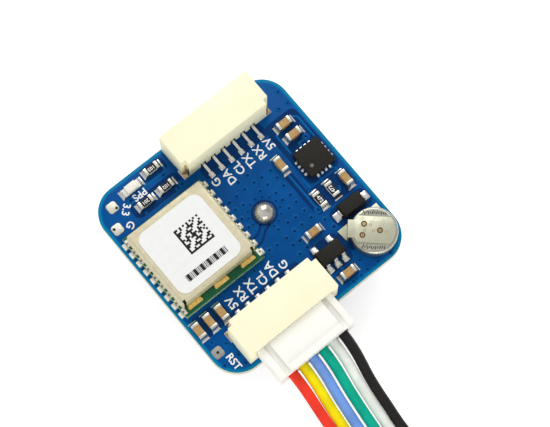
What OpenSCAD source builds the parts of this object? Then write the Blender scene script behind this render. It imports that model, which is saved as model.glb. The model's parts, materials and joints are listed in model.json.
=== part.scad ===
// Satellite positioning board with a compass: a square circuit board that lies on its ceramic patch
// antenna, with a screened receiver, two side-entry headers and a coiled six-wire lead.
// Origin: centre of the antenna's face, at the base. +Z up, +Y from the plugged header to the free one.

/* [Board] */
// Side of the square circuit board
board_w = 23; // [22:0.5:30]
// Thickness of the circuit board
board_t = 1; // [0.6:0.1:1.6]
// Radius of the board's corners
board_r = 3; // [1:0.5:3.5]

/* [Antenna] */
// Side of the square ceramic antenna
antenna_w = 18; // [16:0.5:22]
// Thickness of the ceramic
antenna_t = 4; // [2:0.5:6]
// Chamfer of the ceramic's upright edges
antenna_chamfer = 0.4; // [0.1:0.1:1]
// Side of the silver electrode on the antenna's face
electrode_w = 14.6; // [12:0.2:15.5]
// Thickness of the silver electrode
electrode_t = 0.06; // [0.03:0.01:0.2]
// Thickness of the adhesive tape under the board
tape_t = 0.25; // [0.1:0.05:0.6]
// Border of the antenna that the tape leaves free
tape_margin = 0.8; // [0.2:0.1:2]
// Diameter of the antenna's feed pin
feed_pin_d = 0.9; // [0.6:0.1:1.2]
// Diameter of the feed pin's flat head
feed_head_d = 1.8; // [1.4:0.1:2.4]
// Thickness of the feed pin's flat head
feed_head_t = 0.3; // [0.2:0.05:0.6]
// Diameter of the solder dome on the feed pin
feed_dome_d = 2.3; // [1.6:0.1:2.6]
// Height of the solder dome
feed_dome_h = 0.9; // [0.6:0.1:1]

/* [Receiver module] */
// Width of the receiver's own board
receiver_w = 9.7; // [9:0.1:10]
// Length of the receiver's own board
receiver_l = 10.1; // [9.9:0.1:10.6]
// Thickness of the receiver's own board
receiver_board_t = 0.8; // [0.5:0.1:1.2]
// Spacing of the half-round pads along the receiver's sides
receiver_pitch = 1.1; // [1:0.05:1.2]
// Diameter of the half-round pads
receiver_pad_d = 0.6; // [0.4:0.05:0.8]
// Width of the screening can
shield_w = 9.2; // [8:0.1:9.5]
// Length of the screening can
shield_l = 8.9; // [8:0.1:9.4]
// Height of the screening can
shield_h = 1.6; // [1.2:0.1:2.4]
// Sheet thickness of the screening can
shield_t = 0.2; // [0.1:0.05:0.3]
// Radius of the screening can's bent edges
shield_r = 0.4; // [0.35:0.05:0.8]
// Side of the square paper label
label_w = 7.6; // [5:0.1:7.8]
// Thickness of the label
label_t = 0.08; // [0.05:0.01:0.15]
// Corner radius of the label
label_r = 1; // [0.3:0.1:1.5]

/* [Headers] */
// Spacing of the contacts
pitch = 1.25; // [1.2:0.01:1.3]
// Height of a header's housing
header_h = 4.05; // [3.95:0.05:4.6]
// Depth of a header's housing, rear to mouth
header_depth = 4; // [3.9:0.1:5]
// Width of a header's rear part, between its shoulders
header_rear_w = 9.8; // [9.6:0.1:10.2]
// Wall at each side of a header's mouth
header_wall = 0.8; // [0.7:0.05:1.2]
// Floor of a header's cavity
header_floor = 0.8; // [0.6:0.05:1]
// Rear wall of a header's cavity
header_back = 0.9; // [0.8:0.05:1.2]
// Width of a contact
contact_w = 0.3; // [0.2:0.02:0.36]
// Thickness of a contact's tail on the board
contact_t = 0.2; // [0.15:0.01:0.3]
// Length of a contact's tail behind the free header
tail_l = 1.5; // [1:0.1:1.8]
// Length of a contact's tail behind the plugged header
cable_tail_l = 0.95; // [0.8:0.05:1.5]
// Thickness of a header's solder tab
tab_t = 0.2; // [0.15:0.05:0.3]

/* [Plug] */
// Width of the plug
plug_w = 9.1; // [8.4:0.05:9.2]
// Length of the plug
plug_l = 6.6; // [6:0.1:7.5]
// Height of the plug's body under the lever
plug_h = 2; // [1.9:0.05:2.1]
// Width of the plug's locking lever
lever_w = 6.5; // [6:0.1:7]
// Thickness of the locking lever
lever_t = 0.45; // [0.3:0.05:0.5]
// Play of the plug in the header
plug_gap = 0.1; // [0.05:0.01:0.2]

/* [Small parts] */
// Length of a chip resistor or capacitor
chip_l = 1.6; // [1.4:0.05:1.7]
// Width of a chip resistor or capacitor
chip_w = 0.8; // [0.6:0.05:0.9]
// Height of a chip resistor
resistor_h = 0.45; // [0.3:0.05:0.6]
// Height of a chip capacitor
capacitor_h = 0.8; // [0.6:0.05:1]
// Length of a chip's metal end
chip_end = 0.32; // [0.2:0.02:0.45]
// Length of the indicator lamp
lamp_l = 2; // [1.6:0.1:2.2]
// Side of the compass chip
compass_w = 3; // [2.6:0.1:3.2]
// Height of the compass chip
compass_h = 0.9; // [0.7:0.05:1.2]
// Length of the regulator's body
regulator_l = 2.9; // [2.7:0.1:3.1]
// Width of the regulator's body
regulator_w = 1.6; // [1.4:0.1:1.8]
// Length of the diode's body
diode_l = 2.7; // [2.4:0.1:2.8]
// Width of the diode's body
diode_w = 1.55; // [1.3:0.05:1.7]
// Height of the moulded regulator and diode bodies
moulded_h = 1.1; // [0.9:0.05:1.3]
// Diameter of the backup cell
cell_d = 4.8; // [4.4:0.1:4.8]
// Height of the backup cell's can
cell_h = 1.3; // [1:0.1:1.8]
// Sheet thickness of the backup cell's welded tabs
cell_tab_t = 0.15; // [0.1:0.01:0.2]

/* [Lead] */
// Diameter of one wire with its insulation
wire_d = 1.05; // [0.8:0.01:1.05]
// Radius of the ring of six wires in the gathered lead
lead_ring_r = 1.25; // [1.1:0.05:1.25]
// Width of the coil's tie
tie_w = 2; // [1.5:0.1:2.2]
// Thickness of the coil's tie
tie_t = 0.3; // [0.2:0.05:0.3]

/* [Hidden] */
$fn = 48;
// A small overlap that keeps cuts clean
eps = 0.02;

// Levels
tape_z = antenna_t;
board_z = tape_z + tape_t;
top_z = board_z + board_t;

// Clearance of a pin or a contact in its hole
fit_gap = 0.05;

// Feed of the antenna, a little off the centre
feed_at = [1.8, -0.1];
feed_pin_top = top_z + feed_dome_h * 0.6;
dome_ball_r = (pow(feed_dome_d / 2, 2) + pow(feed_dome_h, 2)) / (2 * feed_dome_h);

// Receiver
receiver_at = [-5.95, 1.4];
receiver_pads = 9;
shield_at = [-6, 1.65];
shield_z = top_z + receiver_board_t;
shield_slit_w = 0.3;
lug_places = [-3.3, 0, 3.3];
lug_w = 1.6;
lug_l = 0.32;
lug_t = 0.15;
label_at = [-6.2, 1.57];

// Headers, each in its own frame: origin at the rear of the base, mouth towards -Y
ways = 6;
contact_span = (ways - 1) * pitch;
free_header_at = [3.4, 7.5];
cable_header_at = [-3.4, -7];
header_shoulder = 0.55;
cavity_w = plug_w + 2 * plug_gap;
header_w = cavity_w + 2 * header_wall;
plug_z = header_floor + plug_gap;
rail_top = plug_z + plug_h + 0.3;
lever_lift = 0.15;
lever_z = plug_z + plug_h + lever_lift;
cavity_top = rail_top + plug_gap;
lever_room_top = lever_z + lever_t + plug_gap;
pin_z = plug_z + plug_h / 2;
pin_l = 2.5;
leg_y = -0.62;
slot_w = contact_w + 0.36;
slot_h = 1;
tab_h = 2.4;
tab_l = 1.1;
tab_out = 0.6;
tab_inset = 0.05;
tab_room = 0.1;

// Plug, in the header's frame
plug_front = -header_back - plug_gap;
plug_rear = plug_front - plug_l;
rail_inner = lever_w / 2 + 0.6;
lever_root_l = 1;
thumb_l = 0.7;
thumb_h = 0.25;
channel_w = 1.1;
channel_h = 1.3;
channel_front = plug_front - 1;
window_w = 0.5;
terminal_w = 0.9;
terminal_h = 1;
terminal_l = 2.9;
barrel_w = 0.8;
barrel_l = 1.6;
socket_w = 0.42;
socket_l = 2.2;
terminal_front = channel_front - 0.1;
wire_start = terminal_front - terminal_l - barrel_l;

// Small parts: centre and turn of each on the board
resistor_places = [
    [-4.05, 10.45, 0],
    [-4.05, 8.1, 0],
    [-6.6, 8.1, 0],
    [8.45, -2.5, 90],
    [6.85, -2.55, 90]
];
capacitor_places = [
    [9.05, 5.7, 0],
    [9.1, 4.25, 0],
    [6.1, 2.6, 90],
    [10.2, -2.5, 90],
    [4.2, -4.75, 0],
    [4.25, -10.05, 0],
    [-10.7, -5.35, 90],
    [-9.3, -5.3, 90],
    [-7.85, -5.3, 90]
];
chip_proud = 0.03;
lamp_at = [-6.8, 10.15];
lamp_w = 0.85;
lamp_base_t = 0.25;
lamp_lens_l = 1.25;
lamp_lens_h = 0.45;
compass_at = [9.1, 1.1];
compass_side_pads = 4;
compass_pad_pitch = 0.5;
compass_pad_w = 0.26;
compass_pad_t = 0.12;
compass_pad_h = 0.3;
regulator_at = [4.1, -7.43];
regulator_lead_pitch = 0.95;
regulator_lead_w = 0.4;
lead_reach = 0.6;
diode_at = [8.85, -5];
diode_lead_w = 0.65;
moulded_lift = 0.08;
moulded_draft = 0.12;
lead_t = 0.15;
lead_foot = 0.42;

// Backup cell: its top tab runs along a diagonal of the board
cell_at = [8.75, -8.53];
cell_edge_r = 0.3;
cell_tab_turn = 138;
cell_tab_w = 2.7;
cell_tongue_w = 1.8;
cell_tab_reach = 3.55;
cell_tab_room = 0.05;
cell_top_z = top_z + cell_tab_t + cell_h;
cell_base_tab_w = 3;

// Lead: colours in order, from -X to +X at the plug
wire_names = ["red", "yellow", "blue", "green", "white", "black"];
wire_colours = ["#e8402f", "#f2d80f", "#7aa3ea", "#08a588", "#eef3ea", "#2b2927"];
wire_sides = 8;

// Coil of the gathered lead: one and a half turns in half circles
lead_r = 1.8;
tie_gap = 0.1;
coil_at = [-11, -36];
coil_z = lead_r + tie_gap + tie_t;
coil_r = 8.8;

// Route of the lead's middle: x, y, z, heading, spread of the flat row, curl into the ring
lead_from = [cable_header_at[0], cable_header_at[1] + wire_start, top_z + pin_z];
lead_drop = lead_from[2] - coil_z;
lead_route = [
    [lead_from[0], lead_from[1], lead_from[2], -90, 1, 0],
    [lead_from[0] - 0.1, lead_from[1] - 2.4, lead_from[2], -95, 0.98, 0],
    [-4, -19.5, coil_z + 0.95 * lead_drop, -97, 0.91, 0],
    [-4.4, -23.5, coil_z + 0.85 * lead_drop, -95, 0.9, 0],
    [-4.8, -27.3, coil_z + 0.76 * lead_drop, -98, 0.9, 0.66],
    [-6, -30.6, coil_z + 0.68 * lead_drop, -90, 0.58, 1.19],
    [-5.1, -33.4, coil_z + 0.26 * lead_drop, -76, 0.1, 1.24],
    [coil_at[0] + coil_r - lead_r, coil_at[1], coil_z, -90, 0, 1]
];
// Route of the tail's middle from the coil to the far plug, in the same form
far_z = pin_z - plug_z;
tail_route = [
    [coil_at[0] - coil_r - lead_r, coil_at[1], coil_z, 90, 0, 1],
    [-21.4, -32.8, coil_z, 82, 0.15, 1],
    [-20.7, -29.6, coil_z - 0.3, 80, 0.7, 1],
    [-20.2, -26.2, far_z, 90, 1, 0],
    [-20.2, -24.2, far_z, 90, 1, 0]
];
tail_end = tail_route[len(tail_route) - 1];
far_plug_at = [tail_end[0], tail_end[1] - wire_start, -plug_z];

// Plan of a rectangle with round corners
module rounded_plan(w, l, r) {
    square([w - 2 * r, l], center = true);
    square([w, l - 2 * r], center = true);
    for (sx = [-1, 1], sy = [-1, 1]) translate([sx * (w / 2 - r), sy * (l / 2 - r)]) circle(r);
}

// Plan of a square with cut corners
module chamfered_plan(w, c) {
    h = w / 2;
    k = h - c;
    polygon([[-k, -h], [k, -h], [h, -k], [h, k], [k, h], [-k, h], [-h, k], [-h, -k]]);
}

// A block that is centred in plan and stands on z = 0
module block(w, l, h) {
    translate([-w / 2, -l / 2, 0]) cube([w, l, h]);
}

// Puts a piece on the board's upper face
module on_board(at, turn = 0) {
    translate([at[0], at[1], top_z]) rotate([0, 0, turn]) children();
}

module board() {
    color("#00508c") difference() {
        translate([0, 0, board_z]) linear_extrude(board_t) rounded_plan(board_w, board_w, board_r);
        translate([feed_at[0], feed_at[1], board_z - eps])
            cylinder(d = feed_pin_d + 2 * fit_gap, h = board_t + 2 * eps);
    }
}

module antenna_ceramic() {
    color("#c9b48c") difference() {
        linear_extrude(antenna_t) chamfered_plan(antenna_w, antenna_chamfer);
        translate([0, 0, -eps]) block(electrode_w, electrode_w, electrode_t + eps);
        translate([feed_at[0], feed_at[1], -eps]) cylinder(d = feed_pin_d + 2 * fit_gap, h = antenna_t + 2 * eps);
        translate([feed_at[0], feed_at[1], -eps]) cylinder(d = feed_head_d + 2 * fit_gap, h = feed_head_t + eps);
    }
}

module antenna_electrode() {
    color("#d8d8d4") difference() {
        block(electrode_w, electrode_w, electrode_t);
        translate([feed_at[0], feed_at[1], -eps])
            cylinder(d = feed_head_d + 2 * fit_gap, h = electrode_t + 2 * eps);
    }
}

module antenna_tape() {
    color("#f2f0e6") difference() {
        translate([0, 0, tape_z]) block(antenna_w - 2 * tape_margin, antenna_w - 2 * tape_margin, tape_t);
        translate([feed_at[0], feed_at[1], tape_z - eps])
            cylinder(d = feed_pin_d + 4 * fit_gap, h = tape_t + 2 * eps);
    }
}

module antenna_feed_pin() {
    color("#c8c4b8") translate([feed_at[0], feed_at[1], 0]) {
        cylinder(d = feed_head_d, h = feed_head_t);
        cylinder(d = feed_pin_d, h = feed_pin_top);
    }
}

module feed_solder() {
    color("#d6d8d6") difference() {
        intersection() {
            translate([feed_at[0], feed_at[1], top_z + feed_dome_h - dome_ball_r]) sphere(dome_ball_r);
            translate([feed_at[0], feed_at[1], top_z]) block(2 * feed_dome_d, 2 * feed_dome_d, 2 * feed_dome_h);
        }
        translate([feed_at[0], feed_at[1], top_z - eps])
            cylinder(d = feed_pin_d, h = feed_pin_top - top_z + eps);
    }
}

module receiver_board() {
    color("#1f7a45") on_board(receiver_at) difference() {
        block(receiver_w, receiver_l, receiver_board_t);
        for (side = [-1, 1], i = [0:receiver_pads - 1])
            translate([side * receiver_w / 2, (i - (receiver_pads - 1) / 2) * receiver_pitch, -eps])
                cylinder(d = receiver_pad_d, h = receiver_board_t + 2 * eps, $fn = 24);
    }
}

// A can with bent upper edges, made from its plan and its two side views
module can_form(w, l, h, r) {
    intersection() {
        linear_extrude(h) rounded_plan(w, l, r);
        translate([0, l / 2, 0]) rotate([90, 0, 0]) linear_extrude(l) can_side(w, h, r);
        translate([-w / 2, 0, 0]) rotate([90, 0, 90]) linear_extrude(w) can_side(l, h, r);
    }
}

// Side view of a can: square below, round above
module can_side(w, h, r) {
    translate([-w / 2, 0]) square([w, h - r]);
    translate([-w / 2 + r, 0]) square([w - 2 * r, h]);
    for (side = [-1, 1]) translate([side * (w / 2 - r), h - r]) circle(r);
}

module receiver_shield() {
    color("#cfc6a6") translate([shield_at[0], shield_at[1], shield_z]) difference() {
        can_form(shield_w, shield_l, shield_h, shield_r);
        translate([0, 0, -eps])
            can_form(shield_w - 2 * shield_t, shield_l - 2 * shield_t, shield_h - shield_t + eps, shield_r - shield_t);
        for (side = [-1, 1])
            translate([side * (shield_w / 2 - shield_r), -shield_l / 2, -eps])
                block(shield_slit_w, 4 * shield_t, shield_h + 2 * eps);
    }
}

module receiver_shield_lugs() {
    color("#d9a63c") for (x = lug_places)
        translate([shield_at[0] + x, shield_at[1] - shield_l / 2 - lug_l / 2, shield_z]) block(lug_w, lug_l, lug_t);
}

module receiver_label() {
    color("#fbfbf8") translate([label_at[0], label_at[1], shield_z + shield_h])
        linear_extrude(label_t) rounded_plan(label_w, label_w, label_r);
}

// Places its children at each contact of a header or plug
module at_contacts() {
    for (i = [0:ways - 1]) translate([i * pitch - contact_span / 2, 0, 0]) children();
}

// Housing of a header: shouldered rear, cavity with room for the plug's lever, and slots for the contacts
module header_housing() {
    difference() {
        union() {
            translate([-header_w / 2, -header_depth, 0]) cube([header_w, header_depth - header_shoulder, header_h]);
            translate([-header_rear_w / 2, -header_shoulder - eps, 0])
                cube([header_rear_w, header_shoulder + eps, header_h]);
        }
        translate([-cavity_w / 2, -header_depth - eps, header_floor])
            cube([cavity_w, header_depth - header_back + eps, cavity_top - header_floor]);
        translate([-lever_w / 2 - plug_gap, -header_depth - eps, header_floor])
            cube([lever_w + 2 * plug_gap, header_depth - header_back + eps, lever_room_top - header_floor]);
        at_contacts() contact_room();
        for (side = [-1, 1])
            translate([side * (header_rear_w / 2 + tab_out / 2), -header_shoulder - tab_l / 2, -eps])
                block(tab_out + 2 * tab_room, tab_l + 2 * tab_room, tab_t + tab_room + eps);
    }
}

// Channel that a contact fills in the rear wall, and the slot where its tail leaves
module contact_room() {
    translate([-contact_w / 2 - eps, leg_y - eps, -eps])
        cube([contact_w + 2 * eps, contact_w + 2 * eps, pin_z + contact_w / 2 + 2 * eps]);
    translate([-contact_w / 2 - eps, -header_back - eps, pin_z - contact_w / 2 - eps])
        cube([contact_w + 2 * eps, header_back + leg_y + 3 * eps, contact_w + 2 * eps]);
    translate([-slot_w / 2, leg_y - eps, -eps]) cube([slot_w, -leg_y + 2 * eps, slot_h + eps]);
}

// One contact: tail on the board, upright leg in the rear wall, pin in the cavity
module contact(tail) {
    translate([-contact_w / 2, leg_y, 0]) cube([contact_w, tail - leg_y, contact_t]);
    translate([-contact_w / 2, leg_y, 0]) cube([contact_w, contact_w, pin_z + contact_w / 2]);
    translate([-contact_w / 2, -header_back - pin_l, pin_z - contact_w / 2])
        cube([contact_w, header_back + pin_l + leg_y + eps, contact_w]);
}

// One solder tab: upright plate in the shoulder and a foot on the board
module solder_tab() {
    translate([header_rear_w / 2, -header_shoulder, 0]) cube([tab_t, header_shoulder - tab_inset, tab_h]);
    translate([header_rear_w / 2, -tab_inset - tab_l, 0]) cube([tab_out, tab_l, tab_t]);
}

module header_tabs() {
    for (side = [0, 1]) mirror([side, 0, 0]) solder_tab();
}

module free_header_housing() {
    color("#fdf9d6") on_board(free_header_at, 180) header_housing();
}

module free_header_contacts() {
    color("#d4d4d0") on_board(free_header_at, 180) at_contacts() contact(tail_l);
}

module free_header_tabs() {
    color("#d4d4d0") on_board(free_header_at, 180) header_tabs();
}

module cable_header_housing() {
    color("#fdf9d6") on_board(cable_header_at) header_housing();
}

module cable_header_contacts() {
    color("#d4d4d0") on_board(cable_header_at) at_contacts() contact(cable_tail_l);
}

module cable_header_tabs() {
    color("#d4d4d0") on_board(cable_header_at) header_tabs();
}

// Plug's housing: body with a channel for each terminal, two side rails and a sprung lever between them
module plug_form() {
    difference() {
        union() {
            translate([-plug_w / 2, plug_rear, plug_z]) cube([plug_w, plug_l, plug_h]);
            for (side = [0, 1]) mirror([side, 0, 0])
                translate([rail_inner, plug_rear, plug_z]) cube([plug_w / 2 - rail_inner, plug_l, rail_top - plug_z]);
            translate([-lever_w / 2, plug_front - lever_root_l, plug_z]) cube([lever_w, lever_root_l, lever_z - plug_z]);
            translate([-lever_w / 2, plug_rear, lever_z]) cube([lever_w, plug_l, lever_t]);
            translate([-lever_w / 2, plug_rear, lever_z]) cube([lever_w, thumb_l, lever_t + thumb_h]);
        }
        at_contacts() {
            translate([-channel_w / 2, plug_rear - eps, pin_z - channel_h / 2])
                cube([channel_w, channel_front - plug_rear + eps, channel_h]);
            translate([-window_w / 2, channel_front - eps, pin_z - window_w / 2])
                cube([window_w, plug_front - channel_front + 2 * eps, window_w]);
        }
    }
}

// One crimped terminal: a box that takes the pin, and the barrel on the wire
module terminal() {
    difference() {
        translate([-terminal_w / 2, terminal_front - terminal_l, pin_z - terminal_h / 2])
            cube([terminal_w, terminal_l, terminal_h]);
        translate([-socket_w / 2, terminal_front - socket_l, pin_z - socket_w / 2])
            cube([socket_w, socket_l + eps, socket_w]);
    }
    translate([-barrel_w / 2, wire_start, pin_z - barrel_w / 2]) cube([barrel_w, barrel_l + eps, barrel_w]);
}

module plug_housing() {
    color("#fbfbf6") on_board(cable_header_at) plug_form();
}

module plug_terminals() {
    color("#c8b67a") on_board(cable_header_at) at_contacts() terminal();
}

// The far plug lies inside the coil, with its wires towards -X
module on_far_plug() {
    translate(far_plug_at) children();
}

module far_plug_housing() {
    color("#fbfbf6") on_far_plug() plug_form();
}

module far_plug_terminals() {
    color("#c8b67a") on_far_plug() at_contacts() terminal();
}

// A chip with two metal ends, its length along X
module chip(h) {
    block(chip_l - 2 * chip_proud, chip_w - 2 * chip_proud, h - chip_proud);
    for (side = [-1, 1]) translate([side * (chip_l - chip_end) / 2, 0, 0]) block(chip_end, chip_w, h);
}

module resistor(place) {
    color("#2a2624") on_board(place, place[2]) chip(resistor_h);
}

module capacitor(place) {
    color("#bb9358") on_board(place, place[2]) chip(capacitor_h);
}

module indicator_lamp() {
    color("#f4f4ea") on_board(lamp_at) {
        block(lamp_l, lamp_w, lamp_base_t);
        block(lamp_lens_l, lamp_w, lamp_base_t + lamp_lens_h);
    }
}

// Places its children at each terminal of the compass chip, with the chip's side towards +Y
module at_compass_pads() {
    for (turn = [0:90:270], i = [0:compass_side_pads - 1]) rotate([0, 0, turn])
        translate([(i - (compass_side_pads - 1) / 2) * compass_pad_pitch, compass_w / 2 - compass_pad_t / 2, 0])
            children();
}

module compass_chip() {
    color("#26262a") on_board(compass_at) difference() {
        block(compass_w, compass_w, compass_h);
        translate([0, 0, -eps]) at_compass_pads() block(compass_pad_w, compass_pad_t + 2 * eps, compass_pad_h + eps);
    }
}

module compass_terminals() {
    color("#d0cdb8") on_board(compass_at) at_compass_pads()
        block(compass_pad_w - 2 * eps, compass_pad_t, compass_pad_h - eps);
}

// A moulded body: widest at its parting line, with drafted faces above and below
module moulded_body(l, w, h) {
    slice = 0.1;
    translate([0, 0, moulded_lift]) hull() {
        block(l - 2 * moulded_draft, w - 2 * moulded_draft, h);
        translate([0, 0, h / 2 - slice / 2]) block(l, w, slice);
    }
}

// Side view of a bent lead, from a body's side at y = 0 to a foot that ends at y = reach
module lead_side(reach, level) {
    polygon([
        [0, level],
        [reach - lead_foot, level],
        [reach - lead_foot, lead_t],
        [reach, lead_t],
        [reach, 0],
        [reach - lead_foot - lead_t, 0],
        [reach - lead_foot - lead_t, level - lead_t],
        [0, level - lead_t]
    ]);
}

// One bent lead of a moulded body, leaving it towards +Y
module bent_lead(width, reach, level) {
    translate([width / 2, 0, 0]) rotate([90, 0, -90]) mirror([1, 0, 0]) linear_extrude(width) lead_side(reach, level);
}

module regulator_body() {
    color("#34322f") on_board(regulator_at) moulded_body(regulator_l, regulator_w, moulded_h);
}

module regulator_leads() {
    level = moulded_lift + moulded_h / 2 + lead_t / 2;
    color("#dcdcd8") on_board(regulator_at) {
        for (k = [-1, 1]) translate([k * regulator_lead_pitch, regulator_w / 2, 0])
            bent_lead(regulator_lead_w, lead_reach, level);
        for (k = [-1, 0, 1]) translate([k * regulator_lead_pitch, -regulator_w / 2, 0]) rotate([0, 0, 180])
            bent_lead(regulator_lead_w, lead_reach, level);
    }
}

module diode_body() {
    color("#3a342c") on_board(diode_at) moulded_body(diode_l, diode_w, moulded_h);
}

module diode_leads() {
    level = moulded_lift + moulded_h / 2 + lead_t / 2;
    color("#dcdcd8") on_board(diode_at) for (turn = [90, 270]) rotate([0, 0, turn])
        translate([0, diode_l / 2, 0]) bent_lead(diode_lead_w, lead_reach, level);
}

module backup_cell_can() {
    r = cell_d / 2;
    color("#d5d5c8") translate([0, 0, cell_tab_t]) on_board(cell_at) rotate_extrude() {
        square([r - cell_edge_r, cell_h]);
        square([r, cell_h - cell_edge_r]);
        translate([r - cell_edge_r, cell_h - cell_edge_r]) circle(cell_edge_r);
    }
}

// Top tab: a plate welded across the can, bent down past its edge to a pointed foot
module backup_cell_top_tab() {
    drop_x = cell_d / 2 + cell_tab_room;
    plate_r = cell_d / 2 - cell_edge_r;
    color("#dcdcd0") on_board(cell_at, cell_tab_turn) {
        translate([0, 0, cell_tab_t + cell_h]) linear_extrude(cell_tab_t) {
            intersection() {
                circle(plate_r);
                square([cell_d, cell_tab_w], center = true);
            }
            translate([0, -cell_tongue_w / 2]) square([drop_x + cell_tab_t, cell_tongue_w]);
        }
        translate([drop_x, -cell_tongue_w / 2, 0]) cube([cell_tab_t, cell_tongue_w, cell_tab_t + cell_h + eps]);
        linear_extrude(cell_tab_t) polygon([
            [drop_x, -cell_tongue_w / 2],
            [drop_x + cell_tab_t, -cell_tongue_w / 2],
            [cell_tab_reach, 0],
            [drop_x + cell_tab_t, cell_tongue_w / 2],
            [drop_x, cell_tongue_w / 2]
        ]);
    }
}

// Base tab: a square plate under the can that shows one corner
module backup_cell_base_tab() {
    corner = cell_d / 2 - 0.18;
    color("#dcdcd0") on_board(cell_at) translate([corner - cell_base_tab_w, corner - cell_base_tab_w, 0])
        cube([cell_base_tab_w, cell_base_tab_w, cell_tab_t]);
}

// Offset of wire i from the lead's middle, to the right and up, for a spread and a curl
function wire_offset(i, spread, curl) =
    let (ring_turn = 60 * i - 60)
    [
        spread * ((ways - 1) / 2 - i) * pitch + (1 - spread) * lead_ring_r * cos(ring_turn),
        curl * lead_ring_r * sin(ring_turn)
    ];

// Points of wire i along a route
function wire_points(route, i) = [
    for (stop = route)
        let (shift = wire_offset(i, stop[4], stop[5]))
        [stop[0] + shift[0] * sin(stop[3]), stop[1] - shift[0] * cos(stop[3]), stop[2] + shift[1]]
];

// Direction of a route at point k: along the heading at its ends, and smooth between them
function route_direction(points, route, k) =
    k == 0 || k == len(points) - 1
        ? [cos(route[k][3]), sin(route[k][3]), 0]
        : (points[k + 1] - points[k - 1]) / norm(points[k + 1] - points[k - 1]);

// Ring of points round a direction
function wire_ring(centre, along) =
    let (side = cross(along, [0, 0, 1]) / norm(cross(along, [0, 0, 1])), up = cross(side, along))
    [
        for (j = [0:wire_sides - 1])
            let (turn = 360 * (j + 0.5) / wire_sides)
            centre + wire_d / 2 * (cos(turn) * side + sin(turn) * up)
    ];

// A tube of one wire along a route
module wire_tube(route, i) {
    points = wire_points(route, i);
    last = len(points) - 1;
    rings = [for (k = [0:last]) each wire_ring(points[k], route_direction(points, route, k))];
    walls = [
        for (k = [0:last - 1], j = [0:wire_sides - 1])
            let (a = k * wire_sides + j, b = k * wire_sides + (j + 1) % wire_sides)
            each [[a, b, b + wire_sides], [a, b + wire_sides, a + wire_sides]]
    ];
    ends = [
        [for (j = [wire_sides - 1:-1:0]) j],
        [for (j = [0:wire_sides - 1]) last * wire_sides + j]
    ];
    color(wire_colours[i]) polyhedron(rings, concat(walls, ends));
}

// Section of two turns of the gathered lead side by side, round ends out
module lead_section(inner_r, turns) {
    width = (turns - 1) * 2 * lead_r;
    translate([inner_r, coil_z - lead_r]) square([max(width, eps), 2 * lead_r]);
    for (k = [0:turns - 1]) translate([inner_r + 2 * k * lead_r, coil_z]) circle(lead_r);
}

module lead_coil() {
    color("#8c8c8c") translate([coil_at[0], coil_at[1], 0]) {
        rotate([0, 0, 180]) rotate_extrude(angle = 180) lead_section(coil_r - lead_r, 2);
        translate([lead_r, 0, 0]) rotate_extrude(angle = 180) translate([coil_r, coil_z]) circle(lead_r);
    }
}

// The tie closes round both turns on the coil's -Y side
module coil_tie() {
    color("#f0f0ec") translate([coil_at[0] - tie_w / 2, coil_at[1] - coil_r, coil_z])
        rotate([90, 0, 90]) linear_extrude(tie_w) difference() {
            tie_outline(lead_r + tie_gap + tie_t);
            tie_outline(lead_r + tie_gap);
        }
}

module tie_outline(r) {
    square([2 * lead_r, 2 * r], center = true);
    for (side = [-1, 1]) translate([side * lead_r, 0]) circle(r);
}

board();
antenna_ceramic();
antenna_electrode();
antenna_tape();
antenna_feed_pin();
feed_solder();
receiver_board();
receiver_shield();
receiver_shield_lugs();
receiver_label();
free_header_housing();
free_header_contacts();
free_header_tabs();
cable_header_housing();
cable_header_contacts();
cable_header_tabs();
compass_chip();
compass_terminals();
regulator_body();
regulator_leads();
diode_body();
diode_leads();
backup_cell_can();
backup_cell_top_tab();
backup_cell_base_tab();
indicator_lamp();
for (i = [0:len(resistor_places) - 1])
    resistor(resistor_places[i]);
for (i = [0:len(capacitor_places) - 1])
    capacitor(capacitor_places[i]);
plug_housing();
plug_terminals();
far_plug_housing();
far_plug_terminals();
for (i = [0:ways - 1])
    wire_tube(lead_route, i);
for (i = [0:ways - 1])
    wire_tube(tail_route, i);
lead_coil();
coil_tie();
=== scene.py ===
"""Looks of a satellite positioning board with compass, on its patch antenna, with a six-wire lead."""
import json
import math

import bmesh
import bpy
from mathutils import Matrix, Vector


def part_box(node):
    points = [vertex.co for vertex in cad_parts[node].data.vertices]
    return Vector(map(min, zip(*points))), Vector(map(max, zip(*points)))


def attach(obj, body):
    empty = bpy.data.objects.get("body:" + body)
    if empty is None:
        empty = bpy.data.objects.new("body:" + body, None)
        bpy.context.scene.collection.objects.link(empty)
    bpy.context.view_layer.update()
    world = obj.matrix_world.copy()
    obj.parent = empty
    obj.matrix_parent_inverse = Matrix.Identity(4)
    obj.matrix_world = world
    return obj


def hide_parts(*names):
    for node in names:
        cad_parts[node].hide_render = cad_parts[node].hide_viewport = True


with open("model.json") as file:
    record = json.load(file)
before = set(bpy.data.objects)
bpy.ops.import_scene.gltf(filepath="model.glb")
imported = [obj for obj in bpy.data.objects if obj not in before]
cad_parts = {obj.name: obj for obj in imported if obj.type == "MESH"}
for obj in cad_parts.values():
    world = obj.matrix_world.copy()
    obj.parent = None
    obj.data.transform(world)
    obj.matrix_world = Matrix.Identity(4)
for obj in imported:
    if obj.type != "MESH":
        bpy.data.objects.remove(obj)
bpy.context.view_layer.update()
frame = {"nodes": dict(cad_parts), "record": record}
nodes = frame["nodes"]

# Lengths below are in millimetres, on the CAD model's own frame
MM = 0.001
BODY = "root"


def node_box(name):
    """Lowest and highest corner of a CAD node, in millimetres."""
    low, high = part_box(name)
    return low / MM, high / MM


BOARD_HIGH = node_box("board")[1]
TOP = BOARD_HIGH.z
BOARD_HALF = BOARD_HIGH.x
BOARD_R = 3


# Materials

def rgb(red, green, blue):
    """A colour of 0 to 255 per channel, as linear light with alpha."""
    def linear(value):
        part = value / 255
        return part / 12.92 if part <= 0.04045 else ((part + 0.055) / 1.055) ** 2.4
    return (linear(red), linear(green), linear(blue), 1.0)


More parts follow.
